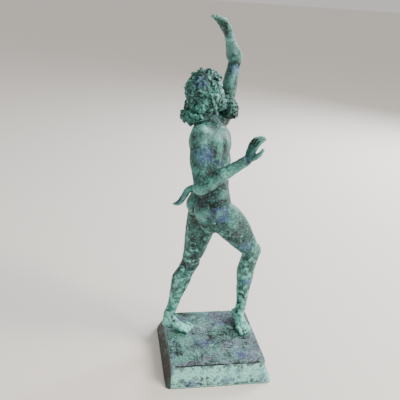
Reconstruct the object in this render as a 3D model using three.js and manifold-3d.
// A cast bronze statuette of a dancing satyr on a low square plinth with sloping sides.
// Millimetres, +Z up. The origin is the middle of the plinth's underside, and the plinth's
// front face looks along -Y. The satyr steps along +X, with the right side towards -Y.
import * as THREE from 'three';
import { LoftGeometry } from 'three/addons/geometries/LoftGeometry.js';
import { mergeVertices } from 'three/addons/utils/BufferGeometryUtils.js';
import Module from 'manifold-3d';

const wasm = await Module();
wasm.setup();

// Driving dimensions of the plinth, in mm.
const PLINTH_HEIGHT = 20;
const PLINTH_TOP_WIDTH = 89;
const PLINTH_TOP_DEPTH = 87;
const PLINTH_FOOT_WIDTH = 100;
const PLINTH_FOOT_DEPTH = 96;
const PLINTH_FOOT_BAND = 2.5;

// The satyr's height if it stood upright, in mm. Its pose, girths and carving are shares of it.
const FIGURE_HEIGHT = 272;

// The soles stay this far above the plinth, in mm.
const SEAT_GAP = 0.3;

// The figure's own unit is one hundredth of its height, counted from the middle of the plinth's top.
const UNIT = FIGURE_HEIGHT / 100;
const vec = (x, y, z) => new THREE.Vector3(x, y, z);
const mix = (a, b, t) => a.clone().lerp(b, t);

// The pose: the joints of the skeleton, right side towards -Y.
const NECK = vec(-5.7, 3.9, 78.6);
const HEAD = vec(-7.0, 4.2, 88.0);
const HEAD_YAW = 32;
const HEAD_PITCH = 26;
const RIGHT_LEG = {
  hip: vec(-0.6, -0.2, 48.8), knee: vec(12.5, 4.2, 32.2), ankle: vec(12.4, 8.7, 5.8),
  front: vec(0.95, 0.15, 0.3),
  heel: vec(11.2, 11.4, 2.2), ball: vec(12.4, 4.0, 1.1), toe: vec(13.3, 0.8, 0.7),
};
const LEFT_LEG = {
  hip: vec(-4.5, 8.4, 48.4), knee: vec(-8.4, 9.2, 25.9), ankle: vec(-14.8, 7.2, 6.2),
  front: vec(0.93, 0.25, -0.25),
  heel: vec(-16.4, 5.6, 3.2), ball: vec(-10.6, 4.7, 1.3), toe: vec(-7.4, 3.7, 0.7),
};
const RIGHT_ARM = {
  shoulder: vec(-9.6, -4.6, 76.4), elbow: vec(-9.6, -9.0, 61.2), wrist: vec(4.2, -8.9, 70.2),
  front: vec(1, -0.1, 0.1),
};
const LEFT_ARM = {
  shoulder: vec(0.2, 11.6, 79.0), elbow: vec(3.7, 15.1, 97.0), wrist: vec(-1.2, 5.9, 104.7),
  front: vec(-0.2, -0.9, -0.1),
};

// The girths along a limb: [share, half-width, half-depth, shift to the front]. Share 0 is the
// limb's root joint, 1 its knee or elbow and 2 its ankle or wrist.
const LEG_GIRTHS = [
  [-0.1, 4.4, 4.9, -0.3], [0.15, 4.7, 5.5, 0.4], [0.4, 4.3, 5.1, 0.8], [0.7, 3.4, 4.1, 0.7],
  [0.9, 2.9, 3.4, 0.4], [1.03, 2.9, 3.5, 0.5], [1.15, 2.6, 3.1, 0], [1.38, 3.0, 3.4, -0.6],
  [1.6, 2.5, 2.9, -0.4], [1.82, 1.8, 2.3, 0], [2.0, 1.8, 2.2, 0], [2.08, 1.7, 2.0, 0],
];
const ARM_GIRTHS = [
  [-0.06, 2.7, 2.9, 0], [0.12, 3.2, 3.5, 0], [0.35, 2.9, 3.3, 0.1], [0.6, 2.6, 3.0, 0.2],
  [0.88, 2.2, 2.3, 0], [1.02, 2.3, 2.4, 0], [1.22, 2.5, 2.6, 0], [1.5, 2.2, 2.2, 0],
  [1.8, 1.6, 1.8, 0], [2.0, 1.4, 1.8, 0],
];

// The torso from the crotch to the neck: [x, y, z, half-width, half-depth, facing in degrees].
const TORSO = [
  [-2.6, 4.0, 44.6, 4.6, 4.4, 16], [-2.8, 4.1, 47.6, 7.6, 5.8, 16], [-3.0, 4.2, 51.4, 8.9, 6.2, 15],
  [-3.2, 4.2, 55.2, 8.2, 5.6, 11], [-3.3, 4.0, 59.4, 7.1, 5.2, 5], [-3.7, 3.8, 63.6, 7.5, 5.6, -2],
  [-4.4, 3.7, 68.0, 8.7, 6.5, -8], [-5.0, 3.7, 72.2, 9.5, 6.7, -12], [-5.4, 3.8, 75.6, 9.3, 5.9, -13],
  [-5.6, 3.9, 78.4, 6.6, 4.4, -12], [-5.7, 3.9, 80.2, 3.4, 3.2, -8],
];

// Rounds and finish of the meshes.
const LIMB_SIDES = 9;
const TORSO_SIDES = 16;
const DIGIT_SIDES = 5;
const LOCK_SIDES = 4;
const FULL_CAP = [22, 56];
const SMALL_CAP = [40];
const DEGREE = Math.PI / 180;

// A Catmull-Rom line through plain numbers, read at 0..1.
function numberLine(numbers) {
  const line = new THREE.CatmullRomCurve3(numbers.map((n, i) => vec(i, n, 0)), false, 'catmullrom', 0.5);
  return (t) => line.getPoint(t).y;
}

// A closed, round-ended body along a curve. Each station has a centre, a half-width, a half-depth
// and the direction of its front, and each ring is an ellipse square to the curve.
function loft(stations, sides, rings, capAngles = FULL_CAP) {
  const path = new THREE.CatmullRomCurve3(stations.map((s) => s.centre));
  const width = numberLine(stations.map((s) => s.width));
  const depth = numberLine(stations.map((s) => s.depth));
  const front = ['x', 'y', 'z'].map((axis) => numberLine(stations.map((s) => s.front[axis])));
  const ring = (t, shrink, slide) => {
    const along = path.getTangent(t).normalize();
    const deep = vec(...front.map((line) => line(t)));
    deep.addScaledVector(along, -deep.dot(along)).normalize();
    const across = deep.clone().cross(along);
    const centre = path.getPoint(t).addScaledVector(along, slide);
    return Array.from({ length: sides }, (_, k) => {
      const turn = (k / sides) * 2 * Math.PI;
      return centre.clone()
        .addScaledVector(across, width(t) * shrink * Math.cos(turn))
        .addScaledVector(deep, depth(t) * shrink * Math.sin(turn));
    });
  };
  const endRadius = (t) => Math.min(width(t), depth(t));
  const cap = (t, sense) => capAngles.map((a) =>
    ring(t, Math.sin(a * DEGREE), sense * endRadius(t) * Math.cos(a * DEGREE)));
  const sections = [
    ...cap(0, -1),
    ...Array.from({ length: rings + 1 }, (_, i) => ring(i / rings, 1, 0)),
    ...cap(1, 1).reverse(),
  ];
  return new LoftGeometry(sections, { capStart: true, capEnd: true });
}

// An ellipsoid with its half-sizes along a direction, along the front and across them both.
function ellipsoid(centre, along, front, halfSizes, round = 14) {
  const z = along.clone().normalize();
  const x = front.clone().addScaledVector(z, -front.dot(z)).normalize();
  const y = z.clone().cross(x);
  const placed = new THREE.Matrix4().makeBasis(
    x.multiplyScalar(halfSizes[1]), y.multiplyScalar(halfSizes[2]), z.multiplyScalar(halfSizes[0]));
  placed.setPosition(centre);
  return new THREE.SphereGeometry(1, round, Math.round(round * 0.65)).applyMatrix4(placed);
}

// A geometry as a solid that can be joined and cut, with its shared corners merged.
function solidOf(geometry, tolerance = 1e-4) {
  const bare = new THREE.BufferGeometry()
    .setAttribute('position', geometry.attributes.position)
    .setIndex(geometry.index);
  const merged = mergeVertices(bare, tolerance);
  return new wasm.Manifold(new wasm.Mesh({
    numProp: 3,
    vertProperties: merged.attributes.position.array,
    triVerts: new Uint32Array(merged.index.array),
  }));
}

function geometryOf(solid) {
  const { vertProperties, triVerts } = solid.getMesh();
  return new THREE.BufferGeometry()
    .setAttribute('position', new THREE.BufferAttribute(vertProperties, 3))
    .setIndex(new THREE.BufferAttribute(triVerts, 1));
}

// The outer skin of a joined casting. The inner skins, of negative volume, are pockets sealed
// between the locks of hair, and leaving them out fills the pockets with bronze.
function filled(geometry) {
  const points = geometry.attributes.position;
  const index = geometry.index.array;
  const leader = Uint32Array.from({ length: points.count }, (_, v) => v);
  const leaderOf = (v) => {
    let top = v;
    while (leader[top] !== top) top = leader[top];
    leader[v] = top;
    return top;
  };
  const corners = Array.from({ length: index.length / 3 }, (_, t) => index.slice(3 * t, 3 * t + 3));
  corners.forEach(([a, b, c]) => {
    leader[leaderOf(b)] = leaderOf(a);
    leader[leaderOf(c)] = leaderOf(a);
  });
  const volume = new Map();
  corners.forEach((triangle) => {
    const [a, b, c] = [...triangle].map((v) => vec(0, 0, 0).fromBufferAttribute(points, v));
    const skin = leaderOf(triangle[0]);
    volume.set(skin, (volume.get(skin) ?? 0) + a.dot(b.cross(c)) / 6);
  });
  const outer = corners.filter((triangle) => volume.get(leaderOf(triangle[0])) > 0);
  const kept = new THREE.BufferGeometry().setAttribute('position', points);
  return kept.setIndex(outer.flatMap((triangle) => [...triangle]));
}

// A limb as two round-ended tubes, one along each bone, that meet in a ball at the knee or elbow.
function limb(root, hinge, end, front, girths, sides, rings) {
  const hingeGirth = girths.find(([share]) => share >= 1);
  const bone = (from, to, start, rows) => {
    const way = to.clone().sub(from).normalize();
    const ahead = front.clone().addScaledVector(way, -front.dot(way)).normalize();
    return loft(rows.map(([share, width, depth, shift]) => ({
      centre: mix(from, to, share - start).addScaledVector(ahead, shift), width, depth, front: ahead,
    })), sides, rings, SMALL_CAP);
  };
  const upper = girths.filter(([share]) => share < 1);
  const lower = girths.filter(([share]) => share > 1.05);
  const [, ...hingeSize] = hingeGirth;
  return [
    bone(root, hinge, 0, [...upper, [1, ...hingeSize]]),
    bone(hinge, end, 1, [[1, ...hingeSize], ...lower]),
  ];
}

function leg({ hip, knee, ankle, front }) {
  const shinWay = ankle.clone().sub(knee);
  const kneecap = knee.clone().addScaledVector(front, 2.4);
  return [
    ...limb(hip, knee, ankle, front, LEG_GIRTHS, LIMB_SIDES, 5),
    ellipsoid(kneecap, shinWay, front, [1.9, 1.3, 1.7], 7),
  ];
}

// A foot from heel to toes, with the instep rising to the ankle.
function foot({ ankle, heel, ball, toe, front }) {
  const up = vec(0, 0, 1);
  const instep = mix(heel, ball, 0.42).lerp(ankle, 0.45);
  const sole = [
    { centre: heel, width: 1.7, depth: 1.7 },
    { centre: mix(heel, ball, 0.35).add(vec(0, 0, 0.7)), width: 1.7, depth: 1.7 },
    { centre: mix(heel, ball, 0.75).add(vec(0, 0, 0.4)), width: 2.3, depth: 1.4 },
    { centre: ball, width: 2.7, depth: 1.1 },
    { centre: mix(ball, toe, 0.6), width: 2.6, depth: 0.9 },
  ].map((s) => ({ ...s, front: up }));
  const rise = [
    { centre: ankle, width: 1.7, depth: 2.0 },
    { centre: mix(ankle, instep, 0.8), width: 1.7, depth: 1.9 },
    { centre: mix(instep, ball, 0.7), width: 1.9, depth: 1.1 },
  ].map((s) => ({ ...s, front }));
  const along = toe.clone().sub(ball).normalize();
  const across = along.clone().cross(up).normalize();
  const toes = [-2, -1, 0, 1, 2].map((i) => {
    const root = mix(ball, toe, 0.35).addScaledVector(across, i * 1.02);
    const reach = 1.9 - 0.28 * Math.abs(i - 0.4);
    const knuckle = root.clone().addScaledVector(along, reach).add(vec(0, 0, 0.25));
    const tip = knuckle.clone().addScaledVector(along, 1.1).add(vec(0, 0, -0.45));
    return loft([root, knuckle, tip].map((centre, k) => (
      { centre, width: 0.62 - 0.08 * k, depth: 0.66 - 0.1 * k, front: up })), DIGIT_SIDES, 2, SMALL_CAP);
  });
  return [loft(sole, 10, 6, SMALL_CAP), loft(rise, 8, 3, SMALL_CAP), ...toes];
}

function arm({ shoulder, elbow, wrist, front }) {
  const way = elbow.clone().sub(shoulder);
  return [
    ...limb(shoulder, elbow, wrist, front, ARM_GIRTHS, LIMB_SIDES, 4),
    ellipsoid(mix(shoulder, elbow, 0.12), way, front, [4.4, 3.5, 3.6], 8),
  ];
}

// An open hand: a flat palm and five digits that bend a little towards the palm's side.
function hand(wrist, along, palm, { spread, curl, thumbSide }) {
  const ahead = along.clone().normalize();
  const inward = palm.clone().addScaledVector(ahead, -palm.dot(ahead)).normalize();
  const across = ahead.clone().cross(inward);
  const place = (a, c, p) => wrist.clone()
    .addScaledVector(ahead, a).addScaledVector(across, c).addScaledVector(inward, p);
  const palmBody = loft([[-0.6, 1.2, 1.0], [1.2, 1.5, 0.95], [3.2, 2.05, 0.85], [4.8, 2.0, 0.7]]
    .map(([a, width, depth]) => ({ centre: place(a, 0, 0), width, depth, front: inward })), 8, 4, SMALL_CAP);
  const lengths = [3.6, 4.3, 4.4, 3.9];
  const fingers = lengths.map((length, i) => {
    const c = (i - 1.5) * 1.02;
    const lean = (i - 1.5) * spread;
    const bend = curl * (1 + 0.2 * i);
    const points = [0, 0.45, 0.78, 1].map((s) =>
      place(4.3 + length * s * Math.cos(bend * s), c + length * s * lean, length * s * Math.sin(bend * s)));
    return loft(points.map((centre, k) => (
      { centre, width: 0.58 - 0.06 * k, depth: 0.58 - 0.06 * k, front: inward })), DIGIT_SIDES, 3, SMALL_CAP);
  });
  const t = thumbSide;
  const thumb = loft([place(0.9, t * 1.0, 0.2), place(2.3, t * 2.3, 0.7), place(3.9, t * 3.0, 1.2),
    place(5.1, t * 3.2, 1.4)].map((centre, k) => (
    { centre, width: 0.78 - 0.08 * k, depth: 0.78 - 0.08 * k, front: inward })), DIGIT_SIDES, 3, SMALL_CAP);
  return [palmBody, ...fingers, thumb];
}

// The torso's tube, with the masses of the chest, shoulder blades and seat on it.
function torso() {
  const facing = (degrees) => vec(Math.cos(degrees * DEGREE), Math.sin(degrees * DEGREE), 0);
  const stations = TORSO.map(([x, y, z, width, depth, turn]) => (
    { centre: vec(x, y, z), width, depth, front: facing(turn) }));
  const parts = [loft(stations, TORSO_SIDES, 12)];
  const place = (row, forward, left, up) => {
    const ahead = facing(row[5]);
    const side = vec(-ahead.y, ahead.x, 0);
    return vec(row[0], row[1], row[2] + up).addScaledVector(ahead, forward).addScaledVector(side, left);
  };
  const chest = TORSO[7];
  const hips = TORSO[2];
  for (const side of [-1, 1]) {
    parts.push(ellipsoid(place(chest, 4.1, side * 4.1, 0.6), vec(0, 0, 1), facing(chest[5]), [3.5, 2.5, 4.4], 8));
    parts.push(ellipsoid(place(chest, -3.0, side * 4.8, 0.8), vec(0, 0, 1), facing(chest[5]), [4.6, 3.8, 3.9], 8));
    parts.push(ellipsoid(place(hips, -2.6, side * 4.3, -1.4), vec(0, 0, 1), facing(hips[5]), [5.4, 4.4, 4.4], 8));
  }
  // The flesh between the right upper arm and the side of the chest.
  parts.push(loft([[-6.0, -4.0, 75.3, 2.7], [-6.1, -5.3, 70.8, 2.8], [-6.7, -6.5, 65.5, 2.3], [-7.6, -7.6, 62.0, 1.8]]
    .map(([x, y, z, width]) => ({ centre: vec(x, y, z), width, depth: width * 0.85, front: vec(1, 0, 0) })),
  7, 3, SMALL_CAP));
  const girdle = [RIGHT_ARM.shoulder, mix(RIGHT_ARM.shoulder, NECK, 0.55), NECK,
    mix(LEFT_ARM.shoulder, NECK, 0.55), LEFT_ARM.shoulder];
  parts.push(loft(girdle.map((centre, k) => (
    { centre, width: [2.6, 3.0, 3.4, 3.0, 2.6][k], depth: [2.6, 2.6, 2.6, 2.6, 2.6][k], front: vec(1, 0, 0) })),
  10, 6, SMALL_CAP));
  return parts;
}

// The head's own directions: forward out of the face, left, and up through the crown.
function headFrame() {
  const yaw = HEAD_YAW * DEGREE;
  const pitch = HEAD_PITCH * DEGREE;
  const forward = vec(Math.cos(yaw) * Math.cos(pitch), Math.sin(yaw) * Math.cos(pitch), Math.sin(pitch));
  const left = vec(-Math.sin(yaw), Math.cos(yaw), 0);
  return { forward, left, up: forward.clone().cross(left) };
}

const FACE = headFrame();
function onHead(forward, left, up) {
  return HEAD.clone().addScaledVector(FACE.forward, forward)
    .addScaledVector(FACE.left, left).addScaledVector(FACE.up, up);
}

function head() {
  const parts = [
    ellipsoid(onHead(-0.5, 0, 0.8), FACE.up, FACE.forward, [5.4, 5.7, 4.7], 10),
    ellipsoid(onHead(1.9, 0, -2.2), FACE.up, FACE.forward, [4.9, 3.3, 3.3], 10),
    ellipsoid(onHead(3.7, 0, 1.5), FACE.left, FACE.forward, [2.9, 0.9, 0.7], 8),
    loft([{ centre: mix(NECK, HEAD, -0.25), width: 3.4, depth: 3.4, front: vec(1, 0, 0) },
      { centre: mix(NECK, HEAD, 0.2), width: 2.9, depth: 3.1, front: vec(1, 0, 0) },
      { centre: mix(NECK, HEAD, 0.7), width: 2.8, depth: 3.1, front: vec(1, 0, 0) }], 10, 3, SMALL_CAP),
    loft([{ centre: onHead(4.5, 0, 1.2), width: 0.5, depth: 0.5, front: FACE.forward },
      { centre: onHead(5.2, 0, -0.2), width: 0.7, depth: 0.7, front: FACE.forward },
      { centre: onHead(5.5, 0, -1.2), width: 0.95, depth: 0.7, front: FACE.forward }], 6, 4, SMALL_CAP),
    ellipsoid(onHead(4.4, 0, -2.9), FACE.left, FACE.forward, [1.5, 0.8, 0.7], 8),
  ];
  for (const side of [-1, 1]) {
    parts.push(ellipsoid(onHead(3.6, side * 1.7, -0.6), FACE.up, FACE.forward, [1.1, 1.2, 1.3], 8));
    parts.push(loft([[-1.8, 4.2, -2.0, 0.9], [-1.9, 4.9, -0.4, 1.0], [-2.9, 5.8, 1.8, 0.3]].map(([f, l, u, w]) => (
      { centre: onHead(f, side * l, u), width: w * 0.55, depth: w, front: FACE.forward })), 6, 3, SMALL_CAP));
  }
  return parts;
}

// A lock of hair from a root on the skull, in a shallow curve that lifts off it and curls.
function lock(root, outward, flow, length, thickness, flick) {
  const side = outward.clone().cross(flow).normalize();
  const bends = [[0, 0, 0], [0.35, 0.12, 0.1], [0.7, 0.12, 0.05], [1, flick, -0.22]];
  return loft(bends.map(([along, lift, sway], k) => ({
    centre: root.clone().addScaledVector(flow, along * length)
      .addScaledVector(outward, lift * length).addScaledVector(side, sway * length),
    width: thickness * [0.9, 1, 0.8, 0.42][k],
    depth: thickness * [0.7, 0.8, 0.65, 0.4][k],
    front: outward,
  })), LOCK_SIDES, 2, SMALL_CAP);
}

// Rings of locks round the skull, from the crown to the nape, open where the face is.
function hair() {
  const locks = [];
  const rings = [
    { rise: 76, count: 2, open: 0, length: 3.4, thick: 1.9, lift: 0.1, flick: 0.2 },
    { rise: 50, count: 5, open: 0, length: 3.6, thick: 1.9, lift: 0.05, flick: 0.16 },
    { rise: 20, count: 6, open: 48, length: 3.8, thick: 1.9, lift: 0, flick: 0.1 },
    { rise: -12, count: 4, open: 80, length: 4.0, thick: 1.9, lift: 0.05, flick: 0.1 },
  ];
  rings.forEach(({ rise, count, open, length, thick, lift, flick }, r) => {
    for (let i = 0; i < count; i += 1) {
      const turn = (open + ((360 - 2 * open) * (i + 0.5)) / count + (r % 2 ? 9 : -9)) * DEGREE;
      const level = Math.cos(rise * DEGREE);
      const outward = FACE.forward.clone().multiplyScalar(Math.cos(turn) * level)
        .addScaledVector(FACE.left, Math.sin(turn) * level)
        .addScaledVector(FACE.up, Math.sin(rise * DEGREE));
      const root = onHead(-0.5 + 5.3 * Math.cos(turn) * level, 4.3 * Math.sin(turn) * level,
        0.8 + 5.0 * Math.sin(rise * DEGREE));
      const flow = FACE.up.clone().negate();
      if (rise > 40) flow.copy(outward).addScaledVector(FACE.up, -outward.dot(FACE.up) - 0.35);
      flow.addScaledVector(outward, -flow.dot(outward) + lift).normalize();
      locks.push(lock(root, outward, flow, length, thick, flick));
    }
  });
  // The thick curls at the nape flare outwards over the shoulders.
  const away = vec(-0.93, -0.36, 0);
  const curls = [[-11.3, 1.9, 81.0, 3.1, 2.3, 3.9], [-10.5, 2.3, 84.2, 2.5, 2.9, 4.2]];
  curls.forEach(([x, y, z, ...half]) => locks.push(ellipsoid(vec(x, y, z), away, vec(0, 0, 1), half, 8)));
  return locks;
}

// A full beard hangs from the jaw, with locks on it from one ear to the other.
function beard() {
  const locks = [ellipsoid(vec(0.9, 7.3, 83.2), vec(0.5, 0.1, -0.86), FACE.forward, [4.3, 2.4, 2.8], 8)];
  for (const side of [-1, 1]) {
    locks.push(ellipsoid(onHead(1.0, side * 3.3, -2.9), FACE.up, FACE.forward, [3.2, 2.0, 1.6], 7));
  }
  const count = 6;
  for (let i = 0; i < count; i += 1) {
    const turn = (-66 + (132 * i) / (count - 1)) * DEGREE;
    const outward = FACE.forward.clone().multiplyScalar(Math.cos(turn)).addScaledVector(FACE.left, Math.sin(turn));
    const root = onHead(1.2 + 2.9 * Math.cos(turn), 3.0 * Math.sin(turn), -4.4 + 1.6 * Math.abs(Math.sin(turn)));
    const flow = FACE.up.clone().negate().addScaledVector(outward, 0.35).normalize();
    locks.push(lock(root, outward, flow, 3.9, 1.7, 0.3));
  }
  return locks;
}

// A short tail that springs from the base of the back and flicks down at its tip.
function tail() {
  const points = [[-7.8, 3.4, 56.2], [-10.6, 3.4, 56.4], [-12.2, 3.6, 54.2], [-13.4, 3.7, 51.9], [-15.3, 3.8, 51.0]];
  return loft(points.map(([x, y, z], k) => (
    { centre: vec(x, y, z), width: [1.4, 1.1, 0.95, 0.8, 0.45][k], depth: [1.2, 0.95, 0.8, 0.7, 0.35][k],
      front: vec(0.3, 0, 1) })), 6, 8, SMALL_CAP);
}

// All of the satyr's forms, joined into one casting and cut flat under the soles.
function satyr() {
  const pieces = [
    ...torso(), ...leg(RIGHT_LEG), ...leg(LEFT_LEG), ...foot(RIGHT_LEG), ...foot(LEFT_LEG),
    ...arm(RIGHT_ARM), ...arm(LEFT_ARM),
    ...hand(RIGHT_ARM.wrist, vec(0.34, 0.06, 0.94), vec(0.8, 0.35, -0.3), { spread: 0.09, curl: 0.38, thumbSide: -1 }),
    ...hand(LEFT_ARM.wrist, vec(-0.5, -0.35, 0.78), vec(-0.6, -0.5, -0.55), { spread: 0.08, curl: 0.3, thumbSide: 1 }),
    ...head(), ...hair(), ...beard(), tail(),
  ];
  const place = new THREE.Matrix4().makeScale(UNIT, UNIT, UNIT).setPosition(0, 0, PLINTH_HEIGHT);
  const joined = pieces
    .map((geometry) => solidOf(geometry.applyMatrix4(place)))
    .reduce((whole, piece) => whole.add(piece));
  const below = new THREE.BoxGeometry(PLINTH_FOOT_WIDTH * 2, PLINTH_FOOT_DEPTH * 2, PLINTH_HEIGHT * 2)
    .translate(0, 0, SEAT_GAP);
  return filled(geometryOf(joined.subtract(solidOf(below))));
}

// The plinth: a square block with a plain foot band, hollow-curved sides and a flat top.
function plinth() {
  const level = (width, depth, z) => [[-1, -1], [1, -1], [1, 1], [-1, 1]]
    .map(([sx, sy]) => vec((sx * width) / 2, (sy * depth) / 2, z));
  const sideRise = PLINTH_HEIGHT - PLINTH_FOOT_BAND;
  const sides = [0, 0.35, 0.7, 1].map((t) => {
    const draw = Math.sin((t * Math.PI) / 2);
    return level(PLINTH_FOOT_WIDTH + (PLINTH_TOP_WIDTH - PLINTH_FOOT_WIDTH) * draw,
      PLINTH_FOOT_DEPTH + (PLINTH_TOP_DEPTH - PLINTH_FOOT_DEPTH) * draw, PLINTH_FOOT_BAND + sideRise * t);
  });
  const block = new LoftGeometry([
    level(PLINTH_FOOT_WIDTH, PLINTH_FOOT_DEPTH, 0), ...sides,
  ], { capStart: true, capEnd: true });
  return geometryOf(solidOf(block));
}

const bronze = new THREE.MeshStandardMaterial({ color: 0x4f7a6b, roughness: 0.62, metalness: 0.35 });
const plinthBronze = new THREE.MeshStandardMaterial({ color: 0x66857a, roughness: 0.72, metalness: 0.3 });

function named(name, geometry, material) {
  const mesh = new THREE.Mesh(geometry, material);
  mesh.name = name;
  return mesh;
}

const statuette = new THREE.Group();
statuette.add(named('satyr', satyr(), bronze));
statuette.add(named('plinth', plinth(), plinthBronze));

export default statuette;
